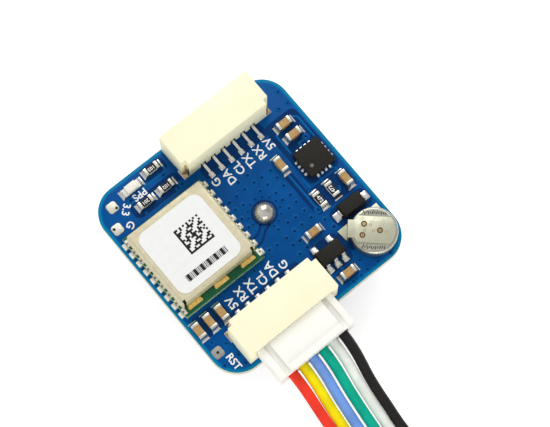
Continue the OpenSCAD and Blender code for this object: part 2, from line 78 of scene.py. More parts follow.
# The range that most of a noise lies in
NOISE_LOW = 0.3
NOISE_HIGH = 0.7


class Finish:
    """A procedural material: two tones, roughness and relief that follow noise of a given grain."""

    def __init__(self, name, colour, roughness, metallic=0.0):
        self.material = bpy.data.materials.new(name)
        self.material.use_nodes = True
        self.tree = self.material.node_tree
        self.shader = self.tree.nodes["Principled BSDF"]
        self.shader.inputs["Base Color"].default_value = colour
        self.shader.inputs["Roughness"].default_value = roughness
        self.shader.inputs["Metallic"].default_value = metallic
        self.place = self.tree.nodes.new("ShaderNodeTexCoord").outputs["Object"]

    def link(self, source, target):
        self.tree.links.new(source, target)

    def stretched(self, stretch):
        mapping = self.tree.nodes.new("ShaderNodeMapping")
        mapping.inputs["Scale"].default_value = stretch
        self.link(self.place, mapping.inputs["Vector"])
        return mapping.outputs["Vector"]

    def noise(self, grain, detail=3.0, stretch=(1, 1, 1)):
        """Noise whose spots are about grain millimetres wide."""
        texture = self.tree.nodes.new("ShaderNodeTexNoise")
        texture.inputs["Scale"].default_value = 1 / (grain * MM)
        texture.inputs["Detail"].default_value = detail
        self.link(self.stretched(stretch), texture.inputs["Vector"])
        return texture.outputs["Fac"]

    def spread(self, fac, low, high):
        """Maps a noise to a range."""
        node = self.tree.nodes.new("ShaderNodeMapRange")
        node.inputs["From Min"].default_value = NOISE_LOW
        node.inputs["From Max"].default_value = NOISE_HIGH
        node.inputs["To Min"].default_value = low
        node.inputs["To Max"].default_value = high
        self.link(fac, node.inputs["Value"])
        return node.outputs["Result"]

    def tones(self, fac, first, second):
        """Blends two colours by a factor, as the finish's own colour."""
        mix = self.tree.nodes.new("ShaderNodeMix")
        mix.data_type = "RGBA"
        mix.inputs["A"].default_value = first
        mix.inputs["B"].default_value = second
        self.link(fac, mix.inputs["Factor"])
        self.link(mix.outputs["Result"], self.shader.inputs["Base Color"])
        return mix

    def rough(self, fac, low, high):
        self.link(self.spread(fac, low, high), self.shader.inputs["Roughness"])

    def maths(self, operation, first, second=None):
        """One step of arithmetic on an output, with a number where the operation takes two values."""
        node = self.tree.nodes.new("ShaderNodeMath")
        node.operation = operation
        self.link(first, node.inputs[0])
        if second is not None:
            node.inputs[1].default_value = second
        return node.outputs[0]

    def relief(self, fac, depth):
        """Bump of about depth millimetres."""
        bump = self.tree.nodes.new("ShaderNodeBump")
        bump.inputs["Strength"].default_value = 1.0
        bump.inputs["Distance"].default_value = depth * MM
        self.link(fac, bump.inputs["Height"])
        self.link(bump.outputs["Normal"], self.shader.inputs["Normal"])


def mottled(name, first, second, grain, roughness, metallic=0.0, depth=0.01, gloss=0.5):
    """A finish of two tones with a range of roughness and a fine relief; grain and depth in millimetres."""
    finish = Finish(name, first, roughness[0], metallic)
    finish.shader.inputs["Specular IOR Level"].default_value = gloss
    noise = finish.noise(grain)
    finish.tones(finish.spread(noise, 0, 1), first, second)
    finish.rough(noise, *roughness)
    finish.relief(finish.noise(grain / 3), depth)
    return finish.material


MASK_GLOSS = 0.07
# Distance from the board's edge where the paler rim begins, and where it is full
RIM_FROM = 0.5
RIM_FULL = 0.15


def solder_mask():
    """Blue mask with a narrow paler rim along the board's outline."""
    finish = Finish("solder_mask", rgb(0, 76, 144), 0.4)
    finish.shader.inputs["Specular IOR Level"].default_value = MASK_GLOSS
    mask_noise = finish.noise(2.2, 5.0)
    blues = finish.tones(finish.spread(mask_noise, 0, 1), rgb(0, 72, 140), rgb(0, 84, 154))
    axes = finish.tree.nodes.new("ShaderNodeSeparateXYZ")
    finish.link(finish.place, axes.inputs["Vector"])
    corner = finish.tree.nodes.new("ShaderNodeCombineXYZ")
    for axis in ("X", "Y"):
        size = finish.maths("ABSOLUTE", axes.outputs[axis])
        past = finish.maths("SUBTRACT", size, (BOARD_HALF - BOARD_R) * MM)
        finish.link(finish.maths("MAXIMUM", past, 0), corner.inputs[axis])
    reach = finish.tree.nodes.new("ShaderNodeVectorMath")
    reach.operation = "LENGTH"
    finish.link(corner.outputs["Vector"], reach.inputs[0])
    rim = finish.tree.nodes.new("ShaderNodeMapRange")
    rim.interpolation_type = "SMOOTHSTEP"
    rim.inputs["From Min"].default_value = (BOARD_R - RIM_FROM) * MM
    rim.inputs["From Max"].default_value = (BOARD_R - RIM_FULL) * MM
    finish.link(reach.outputs["Value"], rim.inputs["Value"])
    edge = finish.tree.nodes.new("ShaderNodeMix")
    edge.data_type = "RGBA"
    edge.inputs["B"].default_value = rgb(0, 124, 170)
    finish.link(rim.outputs["Result"], edge.inputs["Factor"])
    finish.link(blues.outputs["Result"], edge.inputs["A"])
    finish.link(edge.outputs["Result"], finish.shader.inputs["Base Color"])
    finish.rough(mask_noise, 0.34, 0.48)
    finish.relief(finish.noise(0.5), 0.006)
    return finish.material


def mask_tone(name, first, second):
    """A tone of the same mask."""
    finish = Finish(name, first, 0.42)
    finish.shader.inputs["Specular IOR Level"].default_value = MASK_GLOSS
    finish.tones(finish.spread(finish.noise(1.2), 0, 1), first, second)
    finish.relief(finish.noise(0.4), 0.004)
    return finish.material


def laminate():
    """Sawn edge of the board: pale glass cloth in layers."""
    finish = Finish("laminate", rgb(214, 214, 186), 0.7)
    layers = finish.noise(0.5, stretch=(0.25, 0.25, 5))
    finish.tones(finish.spread(layers, 0, 1), rgb(198, 200, 172), rgb(232, 230, 208))
    finish.relief(finish.noise(0.12), 0.02)
    return finish.material


def brushed(name, first, second, roughness, stretch):
    """A metal with fine lines along one direction."""
    finish = Finish(name, first, roughness[0], 1.0)
    lines = finish.noise(0.25, 4.0, stretch)
    finish.tones(finish.spread(lines, 0, 1), first, second)
    finish.rough(lines, *roughness)
    finish.relief(lines, 0.006)
    return finish.material


def insulation(name, colour):
    """Soft plastic of a wire, a little uneven."""
    tone = rgb(*colour)
    dark = rgb(*[value * 0.9 for value in colour])
    finish = Finish(name, tone, 0.42)
    finish.shader.inputs["Specular IOR Level"].default_value = 0.15
    finish.shader.inputs["Coat Weight"].default_value = 0.03
    finish.shader.inputs["Coat Roughness"].default_value = 0.35
    finish.tones(finish.spread(finish.noise(1.4), 0, 1), tone, dark)
    finish.rough(finish.noise(0.4), 0.38, 0.52)
    finish.relief(finish.noise(0.3), 0.008)
    return finish.material


MASK = solder_mask()
LAMINATE = laminate()
MASK_DARK = mask_tone("mask_bare", rgb(0, 47, 100), rgb(0, 57, 115))
MASK_TRACE = mask_tone("mask_trace", rgb(0, 90, 158), rgb(0, 100, 168))
MASK_COLLAR = mask_tone("mask_collar", rgb(0, 78, 146), rgb(0, 88, 156))
MASK_GROOVE = mask_tone("mask_groove", rgb(0, 44, 96), rgb(0, 54, 110))
HOLE = mask_tone("hole_shadow", rgb(0, 36, 84), rgb(0, 46, 98))
# Near-black disc for a test pad's hole: painted shade inside the hole
PIN_HOLE_SHADE = mask_tone("pin_hole_shade", rgb(30, 28, 26), rgb(44, 42, 40))
PRINT_WHITE = mottled("print_white", rgb(254, 254, 254), rgb(246, 248, 250), 0.3, (0.5, 0.7), depth=0.004)
INK = mottled("ink_black", rgb(22, 20, 20), rgb(34, 31, 30), 0.3, (0.5, 0.65), depth=0.002, gloss=0.2)
SOLDER = mottled("solder", rgb(232, 233, 230), rgb(202, 203, 200), 0.35, (0.2, 0.36), 1.0, 0.015)
# Solder of the antenna's feed: its dark second tone is a painted reflection of dark surroundings
DOME_PAINTED_REFLECTION = mottled("dome_solder_painted_reflection", rgb(250, 249, 244), rgb(138, 130, 112), 1.7, (0.08, 0.22), 0.9, 0.03)
TIN = mottled("tin_plate", rgb(240, 239, 232), rgb(216, 214, 206), 0.3, (0.22, 0.38), 1.0, 0.006)
PAD_TIN = mottled("pad_tin", rgb(232, 230, 216), rgb(208, 206, 194), 0.3, (0.3, 0.45), 1.0, 0.01)
PAD_BRIGHT = mottled("pad_bright", rgb(244, 242, 228), rgb(224, 221, 204), 0.3, (0.35, 0.5), 0.4, 0.01)
PAD_RIM = mottled("pad_rim", rgb(150, 150, 144), rgb(128, 128, 122), 0.3, (0.4, 0.55), 0.8, 0.01)
PAD_DULL = mottled("pad_dull", rgb(166, 166, 162), rgb(148, 148, 144), 0.3, (0.45, 0.6), 0.8, 0.01)
GOLD = mottled("gold_plate", rgb(255, 232, 150), rgb(232, 180, 78), 0.3, (0.18, 0.34), 0.7, 0.012)
# Painted shadow: a dark brown tone for the shade under the can's wall, above its lugs
PAINTED_SHADOW_LINE = mottled("painted_shadow_brown", rgb(64, 48, 26), rgb(44, 34, 20), 0.2, (0.6, 0.75), gloss=0.2)
CAN = mottled("can_tin", rgb(218, 210, 180), rgb(206, 197, 165), 0.5, (0.5, 0.62), 0.45, 0.008)
# Green mask of the receiver's board, its own colour made darker as painted shade under the can's edge
RECEIVER_GREEN_SHADED = mottled("receiver_mask_shaded", rgb(14, 84, 52), rgb(24, 100, 64), 0.6, (0.4, 0.55), gloss=0.25)
RECEIVER_EDGE = mottled("receiver_edge", rgb(150, 188, 156), rgb(120, 164, 130), 0.3, (0.6, 0.75))
LABEL = mottled("label_paper", rgb(240, 240, 238), rgb(236, 236, 234), 0.6, (0.55, 0.7), depth=0.002)
NYLON_CREAM = mottled("nylon_cream", rgb(253, 250, 218), rgb(251, 247, 211), 2.4, (0.45, 0.58), depth=0.006)
NYLON_WHITE = mottled("nylon_white", rgb(253, 252, 246), rgb(250, 248, 240), 2.4, (0.45, 0.58), depth=0.006)
TERMINAL = mottled("terminal_tin", rgb(214, 202, 160), rgb(190, 176, 132), 0.4, (0.25, 0.4), 1.0, 0.01)
TAB = mottled("tab_tin", rgb(222, 206, 168), rgb(172, 136, 84), 0.5, (0.25, 0.4), 1.0, 0.01)
EPOXY = mottled("epoxy_black", rgb(25, 23, 20), rgb(42, 39, 33), 0.12, (0.55, 0.7), depth=0.02, gloss=0.2)
GLAZE = mottled("resistor_glaze", rgb(20, 18, 17), rgb(32, 30, 28), 0.25, (0.4, 0.55), gloss=0.2)
CERAMIC_WHITE = mottled("resistor_ceramic", rgb(232, 230, 222), rgb(214, 211, 202), 0.2, (0.5, 0.65))
CERAMIC_TAN = mottled("capacitor_ceramic", rgb(190, 152, 94), rgb(168, 132, 78), 0.25, (0.4, 0.55),
                      depth=0.012)
CELL_CAN = brushed("cell_can", rgb(200, 200, 186), rgb(156, 155, 140), (0.26, 0.42), (1, 6, 1))
CELL_MARK = mottled("cell_mark", rgb(84, 80, 66), rgb(60, 56, 45), 0.1, (0.35, 0.5), 0.8, 0.01)
CELL_STAIN = mottled("cell_stain", rgb(186, 176, 138), rgb(170, 158, 118), 0.1, (0.45, 0.6), 0.8, 0.01)
CELL_TAB = mottled("cell_tab", rgb(204, 204, 182), rgb(188, 188, 166), 0.7, (0.42, 0.56), 0.9, 0.01)
WELD = mottled("weld_tint", rgb(132, 104, 52), rgb(92, 70, 36), 0.1, (0.3, 0.5), 1.0, 0.02)
LAMP = mottled("lamp_resin", rgb(244, 243, 232), rgb(234, 232, 218), 0.4, (0.2, 0.32), depth=0.006)
ANTENNA = mottled("antenna_ceramic", rgb(206, 190, 154), rgb(190, 172, 134), 0.4, (0.55, 0.7), depth=0.02)
ELECTRODE = brushed("electrode_silver", rgb(226, 225, 220), rgb(204, 203, 196), (0.32, 0.48), (1, 4, 1))
TAPE = mottled("tape_foam", rgb(236, 233, 222), rgb(224, 220, 206), 0.15, (0.75, 0.9), depth=0.03)
MARK_GREY = mottled("mark_grey", rgb(112, 108, 98), rgb(92, 88, 80), 0.15, (0.5, 0.65))
TIE = mottled("tie_plastic", rgb(238, 238, 234), rgb(226, 226, 220), 0.5, (0.4, 0.55))


# Building pieces

SHARP = math.radians(30)
FLAT = math.radians(1)
BEVEL_STEPS = 2
# Points nearer than this are one
WELD_GAP = 0.002
SLOT_OF = {part["node"]: part["material_slot"] for part in frame["record"]["subparts"]}


def shaded(obj):
    """Smooth shading that keeps edges sharp above the limit."""
    mesh = obj.data
    for polygon in mesh.polygons:
        polygon.use_smooth = True
    mesh.set_sharp_from_angle(angle=SHARP)


def cleaned(bm, gap):
    """Joins points that are nearer than a gap, and drops what has no size."""
    bmesh.ops.remove_doubles(bm, verts=bm.verts, dist=gap)
    bmesh.ops.dissolve_degenerate(bm, edges=bm.edges, dist=gap)


def heading(turn):
    """Plan direction of a turn in degrees."""
    angle = math.radians(turn)
    return Vector((math.cos(angle), math.sin(angle)))


def installed(name, mesh, slot, replaced=()):
    """Puts a mesh in the scene as a piece that rides on the board."""
    obj = bpy.data.objects.new(name, mesh)
    bpy.context.scene.collection.objects.link(obj)
    shaded(obj)
    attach(obj, BODY)
    if replaced:
        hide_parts(*replaced)
    return obj


class Piece:
    """Mesh parts gathered in millimetres, which become one object."""

    def __init__(self, name):
        self.name = name
        self.bm = bmesh.new()
        self.materials = []
        self.place = Matrix.Identity(4)

    def at(self, x, y, z=0.0, turn=0.0):
        """Sets the frame of the parts that follow: a place and a turn about z in degrees."""
        self.place = Matrix.Translation((x, y, z)) @ Matrix.Rotation(math.radians(turn), 4, "Z")

    def vert(self, point):
        return self.bm.verts.new(self.place @ Vector(point))

    def paint(self, faces, material):
        if material not in self.materials:
            self.materials.append(material)
        for face in faces:
            face.material_index = self.materials.index(material)

    def skin(self, rings, material):
        """A closed form over rings of equally many points, each ring anticlockwise seen from above."""
        loops = [[self.vert(point) for point in ring] for ring in rings]
        faces = [self.bm.faces.new(list(reversed(loops[0]))), self.bm.faces.new(loops[-1])]
        count = len(loops[0])
        for lower, upper in zip(loops, loops[1:]):
            for k in range(count):
                n = (k + 1) % count
                faces.append(self.bm.faces.new((lower[k], lower[n], upper[n], upper[k])))
        self.paint(faces, material)

    def stack(self, levels, material):
        """A closed form over plan outlines, each with its height."""
        self.skin([[(x, y, z) for x, y in outline] for outline, z in levels], material)

    def prism(self, outline, low, high, material):
        """An upright prism on a plan outline."""
        self.stack(((outline, low), (outline, high)), material)

    def ring(self, inner, outer, low, high, material, steps):
        """A flat ring about the frame's origin."""
        angles = [2 * math.pi * k / steps for k in range(steps)]
        corners = ((outer, low), (outer, high), (inner, high), (inner, low))
        loops = [[self.vert((r * math.cos(a), r * math.sin(a), z)) for a in angles] for r, z in corners]
        faces = []
        for c in range(4):
            first, second = loops[c], loops[(c + 1) % 4]
            for k in range(steps):
                n = (k + 1) % steps
                faces.append(self.bm.faces.new((first[k], first[n], second[n], second[k])))
        self.paint(faces, material)

    def words(self, text, size, low, high, material, weight=0.0, align="CENTER"):
        """Words at the frame's origin, size millimetres high, with the given stroke gain."""
        curve = bpy.data.curves.new("words", "FONT")
        curve.body = text
        curve.size = size
        curve.align_x = align
        curve.align_y = "CENTER"
        curve.offset = weight
        curve.extrude = (high - low) / 2
        curve.resolution_u = 3
        carrier = bpy.data.objects.new("words", curve)
        bpy.context.scene.collection.objects.link(carrier)
        graph = bpy.context.evaluated_depsgraph_get()
        mesh = bpy.data.meshes.new_from_object(carrier.evaluated_get(graph))
        mesh.transform(self.place @ Matrix.Translation((0, 0, (low + high) / 2)))
        welded = bmesh.new()
        welded.from_mesh(mesh)
        cleaned(welded, WELD_GAP)
        welded.to_mesh(mesh)
        welded.free()
        before = len(self.bm.faces)
        self.bm.from_mesh(mesh)
        self.bm.faces.ensure_lookup_table()
        self.paint(self.bm.faces[before:], material)
        bpy.data.objects.remove(carrier)
        bpy.data.curves.remove(curve)
        bpy.data.meshes.remove(mesh)

    def done(self, slot):
        """Turns the parts into an object."""
        bmesh.ops.recalc_face_normals(self.bm, faces=self.bm.faces)
        mesh = bpy.data.meshes.new(self.name)
        self.bm.to_mesh(mesh)
        self.bm.free()
        mesh.transform(Matrix.Scale(MM, 4))
        for material in self.materials:
            mesh.materials.append(material)
        installed(self.name, mesh, slot)


def circle(radius, steps):
    """Plan outline of a disc."""
    angles = [2 * math.pi * k / steps for k in range(steps)]
    return [(radius * math.cos(a), radius * math.sin(a)) for a in angles]


def rectangle(w, l):
    """Plan outline of a rectangle, centred."""
    return [(-w / 2, -l / 2), (w / 2, -l / 2), (w / 2, l / 2), (-w / 2, l / 2)]


def round_rectangle(w, l, r, steps=6):
    """Plan outline of a rectangle with round corners, centred."""
    points = []
    for quarter, (sx, sy) in enumerate(((1, 1), (-1, 1), (-1, -1), (1, -1))):
        for k in range(steps + 1):
            angle = math.radians(90 * (quarter + k / steps))
            points.append((sx * (w / 2 - r) + r * math.cos(angle), sy * (l / 2 - r) + r * math.sin(angle)))
    return points


def dressed(node, material, edge, shortest=0.25, paint=None):
    """A copy of a CAD node that stands for it, with its longer edges rounded.

    edge is the size of the round, shortest the length below which an edge stays sharp, and paint gives
    the material of a face from its centre and normal.
    """
    bm = bmesh.new()
    bm.from_mesh(nodes[node].data)
    bmesh.ops.remove_doubles(bm, verts=bm.verts, dist=WELD_GAP * MM)
    bmesh.ops.dissolve_limit(bm, angle_limit=FLAT, verts=bm.verts, edges=bm.edges)
    sharp = [e for e in bm.edges
             if e.is_manifold and e.calc_face_angle() > SHARP and e.calc_length() > shortest * MM]
    bmesh.ops.bevel(bm, geom=sharp, offset=edge * MM, offset_type="OFFSET", segments=BEVEL_STEPS,
                    profile=0.5, affect="EDGES", clamp_overlap=False)
    cleaned(bm, WELD_GAP * MM)
    materials = [material]
    for face in bm.faces:
        wanted = paint(face.calc_center_median() / MM, face.normal) if paint else material
        if wanted not in materials:
            materials.append(wanted)
        face.material_index = materials.index(wanted)
    mesh = bpy.data.meshes.new(node + "_dressed")
    bm.to_mesh(mesh)
    bm.free()
    if "custom_normal" in mesh.attributes:
        mesh.attributes.remove(mesh.attributes["custom_normal"])
    for entry in materials:
        mesh.materials.append(entry)
    return installed(node + "_dressed", mesh, SLOT_OF[node], [node])


def finished(node, material):
    """A CAD node that stays as it is, with a better material."""
    mesh = nodes[node].data
    mesh.materials.clear()
    mesh.materials.append(material)


# Camera, from a fit of the board's corners in the photograph

CAMERA_AT = Vector((-34.14, -43.87, 212.01))
CAMERA_TARGET = Vector((2.565, -0.808, 5.25))
CAMERA_UP = Vector((0.611, 0.746, 0.264))
CAMERA_LENS = 142.38


def make_camera():
    data = bpy.data.cameras.new("camera")
    data.sensor_fit = "HORIZONTAL"
    data.sensor_width = 36
    data.lens = CAMERA_LENS
    data.clip_start = 0.005
    back = (CAMERA_AT - CAMERA_TARGET).normalized()
    right = CAMERA_UP.cross(back).normalized()
    up = back.cross(right)
    camera = bpy.data.objects.new("camera", data)
    turn = Matrix((right, up, back)).transposed().to_4x4()
    camera.matrix_world = Matrix.Translation(CAMERA_AT * MM) @ turn
    bpy.context.scene.collection.objects.link(camera)
    bpy.context.scene.camera = camera


make_camera()


# Lead: the route's points are those of part.scad

PITCH = 1.25
WIRE_D = 1.05
RING_R = 1.25
COIL_Z = 2.2
LEAD_Z = 7.15
LEAD_DROP = LEAD_Z - COIL_Z
FAR_Z = 1.0
# x, y, z, heading, spread of the flat row, curl into the ring
LEAD_ROUTE = (
    (-3.4, -13.0, LEAD_Z, -90, 1, 0),
    (-3.4, -13.6, LEAD_Z, -90, 1, 0),
    (-3.5, -16, LEAD_Z, -95, 0.98, 0),
    (-4, -19.5, COIL_Z + 0.95 * LEAD_DROP, -97, 0.91, 0),
    (-4.4, -23.5, COIL_Z + 0.85 * LEAD_DROP, -95, 0.9, 0),
    (-4.8, -27.3, COIL_Z + 0.76 * LEAD_DROP, -98, 0.9, 0.66),
    (-6, -30.6, COIL_Z + 0.68 * LEAD_DROP, -90, 0.58, 1.19),
    (-5.1, -33.4, COIL_Z + 0.26 * LEAD_DROP, -76, 0.1, 1.24),
)
TAIL_ROUTE = (
    (-21.4, -32.8, COIL_Z, 82, 0.15, 1),
    (-20.7, -29.6, COIL_Z - 0.3, 80, 0.7, 1),
    (-20.2, -26.2, FAR_Z, 90, 1, 0),
    (-20.2, -24.2, FAR_Z, 90, 1, 0),
    (-20.2, -23.6, FAR_Z, 90, 1, 0),
)
COIL_AT = (-11, -36)
COIL_R = 8.8
LEAD_R = 1.8
COIL_TWISTS = 2
COIL_STEPS = 12
WIRES = (
    ("red", (254, 62, 42)),
    ("yellow", (255, 234, 4)),
    ("blue", (120, 164, 240)),
    ("green", (0, 178, 148)),
    ("white", (242, 246, 238)),
    ("black", (36, 34, 32)),
)
# The lead and both headers have as many ways
WAYS = len(WIRES)
ROW_MIDDLE = (WAYS - 1) / 2


def wire_point(station, wire, twist=0.0):
    """Place of one wire at a station of the lead; twist turns the gathered ring, in degrees."""
    x, y, z, heading, spread, curl = station
    angle = math.radians(360 / WAYS * (wire - 1) + twist)
    right = spread * (ROW_MIDDLE - wire) * PITCH + (1 - spread) * RING_R * math.cos(angle)
    rise = curl * RING_R * math.sin(angle)
    way = math.radians(heading)
    return (x + right * math.sin(way), y - right * math.cos(way), z + rise)


def coil_stations():
    """Stations of the gathered lead on its three half circles, inner turn first, each with its twist."""
    middle = COIL_AT[0]
    # Centre, radius and first angle of each half circle
    arcs = (
        (middle, COIL_R - LEAD_R, 0),
        (middle + LEAD_R, COIL_R, 180),
        (middle, COIL_R + LEAD_R, 0),
    )
    total = sum(radius for _, radius, _ in arcs)
    run = 0
    for centre, radius, start in arcs:
        for k in range(COIL_STEPS):
            part = k / COIL_STEPS
            along = (run + part * radius) / total
            eased = along - math.sin(2 * math.pi * along) / (2 * math.pi)
            angle = math.radians(start - 180 * part)
            x = centre + radius * math.cos(angle)
            y = COIL_AT[1] + radius * math.sin(angle)
            yield (x, y, COIL_Z, start - 180 * part - 90, 0, 1), 360 * COIL_TWISTS * eased
        run += radius
    yield (arcs[2][0] - arcs[2][1], COIL_AT[1], COIL_Z, 90, 0, 1), 360 * COIL_TWISTS


def wire_points(wire):
    points = [wire_point(station, wire) for station in LEAD_ROUTE]
    points += [wire_point(station, wire, twist) for station, twist in coil_stations()]
    points += [wire_point(station, wire) for station in TAIL_ROUTE]
    return points


def make_wire(wire, name, colour):
    curve = bpy.data.curves.new("lead_" + name, "CURVE")
    curve.dimensions = "3D"
    curve.bevel_depth = WIRE_D / 2 * MM
    curve.bevel_resolution = 5
    curve.resolution_u = 6
    curve.use_fill_caps = True
    curve.materials.append(insulation("insulation_" + name, colour))
    points = wire_points(wire)
    spline = curve.splines.new("BEZIER")
    spline.bezier_points.add(len(points) - 1)
    for knot, point in zip(spline.bezier_points, points):
        knot.co = Vector(point) * MM
        knot.handle_left_type = "AUTO"
        knot.handle_right_type = "AUTO"
    obj = bpy.data.objects.new("lead_" + name, curve)
    bpy.context.scene.collection.objects.link(obj)
    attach(obj, BODY)
    replaced = ["wire_" + name, "wire_tail_" + name]
    if wire == 0:
        replaced.append("lead_coil")
    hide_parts(*replaced)
    return obj


def make_lead():
    plugs = [dressed(name, NYLON_WHITE, 0.07) for name in ("plug_housing", "far_plug_housing")]
    for name in ("plug_terminals", "far_plug_terminals"):
        finished(name, TERMINAL)
    finished("coil_tie", TIE)
    for wire, (name, colour) in enumerate(WIRES):
        obj = make_wire(wire, name, colour)


make_lead()


# Board, antenna and receiver

# Faces whose normal rises more than this are level
LEVEL = 0.7


def level_paint(level, side):
    """One material for the level faces and another for the sides."""
    def paint(centre, normal):
        return level if abs(normal.z) > LEVEL else side
    return paint


def make_board():
    dressed("board", MASK, 0.05, paint=level_paint(MASK, LAMINATE))
    dressed("antenna_ceramic", ANTENNA, 0.025)
    finished("antenna_electrode", ELECTRODE)
    dressed("antenna_tape", TAPE, 0.04)
    dressed("antenna_feed_pin", TIN, 0.05)
    dressed("feed_solder", DOME_PAINTED_REFLECTION, 0.02)


make_board()


LUG_PLACES = (-3.3, 0, 3.3)
LUG_PAD_W = 1.7
LUG_PAD_L = 0.3
LUG_PAD_R = 0.08
# Heights of the pads about the receiver board's upper face
LUG_PAD_Z = (-0.02, 0.05)
# Size of the painted shadow line along the foot of the can's front wall
SHADOW_LINE_SHORTER = 1.1
SHADOW_LINE_T = 0.04
SHADOW_LINE_H = 0.16


def make_receiver():
    dressed("receiver_board", RECEIVER_GREEN_SHADED, 0.03, 0.5, paint=level_paint(RECEIVER_GREEN_SHADED, RECEIVER_EDGE))
    dressed("receiver_shield", CAN, 0.04, 0.3)
    dressed("receiver_shield_lugs", GOLD, 0.03)
    dressed("receiver_label", LABEL, 0.02)
    low, high = node_box("receiver_shield")
    # A dark strip along the foot of the can's front wall: painted shadow of the gap above the lugs
    shadow_line = Piece("receiver_painted_shadow")
    shadow_line.at((low.x + high.x) / 2, low.y, low.z)
    shadow_line.prism(rectangle(high.x - low.x - SHADOW_LINE_SHORTER, SHADOW_LINE_T), 0, SHADOW_LINE_H, PAINTED_SHADOW_LINE)
    shadow_line.done("tin")
    lug_front = node_box("receiver_shield_lugs")[0].y
    pads = Piece("lug_pads")
    for x in LUG_PLACES:
        pads.at((low.x + high.x) / 2 + x, lug_front, low.z)
        pads.prism(round_rectangle(LUG_PAD_W, LUG_PAD_L, LUG_PAD_R), *LUG_PAD_Z, GOLD)
    pads.done("tin")


make_receiver()


def make_headers():
    for name in ("free_header", "cable_header"):
        dressed(name + "_housing", NYLON_CREAM, 0.07, 0.4)
        dressed(name + "_contacts", TIN, 0.03, 0.1)
        dressed(name + "_tabs", TAB, 0.04, 0.1)


make_headers()


# Small parts

RESISTORS = [f"resistor_{i}" for i in range(1, 6)]
CAPACITORS = [f"capacitor_{i}" for i in range(1, 10)]
CHIP_END = 0.33


def chip_paint(node, body, top=None):
    """Metal at both ends of a chip, its body between them, and another tone for its upper face."""
    low, high = node_box(node)
    size = high - low
    axis = 0 if size.x > size.y else 1

    def paint(centre, normal):
        if min(centre[axis] - low[axis], high[axis] - centre[axis]) < CHIP_END:
            return PAD_TIN
        if top and normal.z > LEVEL:
            return top
        return body
    return paint


def make_small_parts():
    for name in RESISTORS:
        dressed(name, CERAMIC_WHITE, 0.03, 0.1, paint=chip_paint(name, CERAMIC_WHITE, GLAZE))
    for name in CAPACITORS:
        dressed(name, CERAMIC_TAN, 0.05, 0.1, paint=chip_paint(name, CERAMIC_TAN))
    dressed("indicator_lamp", LAMP, 0.05, 0.1)
    dressed("compass_chip", EPOXY, 0.04)
    finished("compass_terminals", TIN)
    dressed("regulator_body", EPOXY, 0.05)
    dressed("regulator_leads", TIN, 0.02, 0.1)
    dressed("diode_body", EPOXY, 0.05)
    dressed("diode_leads", TIN, 0.02, 0.1)
    finished("backup_cell_can", CELL_CAN)
    dressed("backup_cell_top_tab", CELL_TAB, 0.03, 0.1)
    dressed("backup_cell_base_tab", CELL_TAB, 0.03, 0.1)


make_small_parts()


# Board: copper under the mask, vias and print

# Heights over the board; each patch lies a step above the one before, so that none share a plane
PATCH_H = 0.004
PATCH_STEP = 0.0005
GROOVE_H = 0.013
TRACE_H = 0.016
VIA_H = 0.05
PRINT_H = 0.03
TRACE_W = 0.2
GROOVE_W = 0.22
MITRE_LIMIT = 0.5
FEED_AT = (1.8, -0.1)
# Inner and outer radius of the groove round the feed
FEED_GROOVE = (1.1, 1.34)
# A patch's corners have this radius, or this share of a short side
PATCH_R = 0.7
PATCH_SHARE = 0.4

# Stretches of bare laminate between the copper: x, y of two corners
BARE_PATCHES = (
    (-0.45, 5.85, 7.3, 7.7),
    (-8.1, -6.7, 1.1, -5.75),
    (-8.3, 7.1, -2.3, 8.95),
    (-5.4, 9.45, -2.5, 11.05),
    (7.1, -0.9, 11.0, 6.7),
    (5.75, -3.5, 6.5, 1.9),
    (6.3, -3.75, 10.9, -1.15),
    (6.5, -6.1, 11.0, -4.0),
    (2.5, -9.2, 5.9, -5.75),
    (3.0, -10.7, 5.5, -9.4),
    (-11.1, -6.4, -7.2, -4.0),
    (5.9, -8.6, 7.0, -6.1),
)
# Lines of copper that run across bare laminate
TRACES = (
    ((6.1, 1.7), (6.1, -3.1)),
    ((6.95, 0.35), (6.95, -1.0)),
    ((8.1, 5.6), (7.72, 5.2), (7.72, 2.9)),
    ((10.0, 5.85), (10.35, 5.85), (10.68, 5.5), (10.68, 2.9)),
    ((9.95, 3.3), (9.0, 3.3), (9.0, 2.8)),
    ((9.9, -0.6), (10.2, -1.0), (10.2, -1.6)),
    ((8.35, -0.6), (8.35, -1.5)),
    ((9.3, -2.6), (9.0, -3.1), (8.5, -3.4)),
    ((-3.2, 10.3), (-2.95, 10.0), (-2.95, 9.5), (-6.2, 9.5)),
    ((-7.2, 7.4), (-7.2, 7.15)),
    ((-3.4, 7.5), (-3.4, 7.15)),
    ((-8.1, 9.75), (-8.1, 10.5), (-7.8, 10.6)),
    ((-5.6, 8.1), (-4.9, 8.1)),
    ((4.1, -8.9), (4.1, -9.7)),
    ((-10.7, -4.3), (-10.7, -3.9)),
)
# Lines cut out of the copper beside the antenna's feed line
GROOVES = (
    ((0.75, -0.75), (0.4, -1.1), (-0.1, -1.4), (-0.75, -1.5)),
    ((1.5, -1.35), (0.75, -1.55), (0.15, -2.0), (-0.35, -2.25), (-0.75, -2.3)),
    ((5.72, 1.7), (5.72, -3.1), (5.95, -3.6), (6.4, -3.6)),
)
# Larger holes that the traces end in
RING_VIAS = ((2.69, -4.53), (6.18, -5.55), (6.1, -3.22), (9.95, 3.35), (-2.6, 7.35), (-7.6, 9.2))
